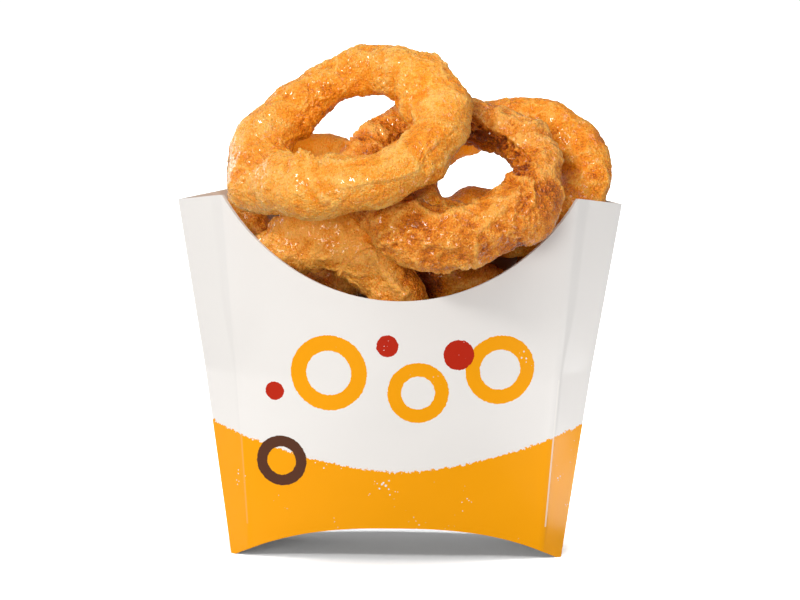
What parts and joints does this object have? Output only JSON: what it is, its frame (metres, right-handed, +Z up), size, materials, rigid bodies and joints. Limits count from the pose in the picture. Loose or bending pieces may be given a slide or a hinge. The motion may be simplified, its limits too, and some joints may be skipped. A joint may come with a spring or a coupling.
{
  "type": "onion rings side",
  "caption": "Side of battered fried onion rings heaped in a paperboard scoop carton with a plain white and orange band print, to stand on a table or tray",
  "frame": {"origin": "on the floor, under the middle of the whole heap's box; the carton's own middle is 6.8 mm behind it", "axes": "+Z up, X across the carton, -Y towards the scooped front panel"},
  "size_m": [0.1244, 0.0676, 0.1419],
  "materials": {
    "printed_board": "satin",
    "golden_crust": "satin",
    "brown_crust": "satin",
    "deep_crust": "satin"
  },
  "bodies": {
    "root": {"carton": "printed_board", "ring_top": "golden_crust", "ring_right": "brown_crust", "ring_back": "golden_crust", "ring_front_left": "brown_crust", "ring_under_top": "deep_crust", "ring_back_right": "deep_crust", "ring_deep_right": "deep_crust", "ring_low_left": "deep_crust", "ring_low_right": "deep_crust"}
  },
  "joints": []
}
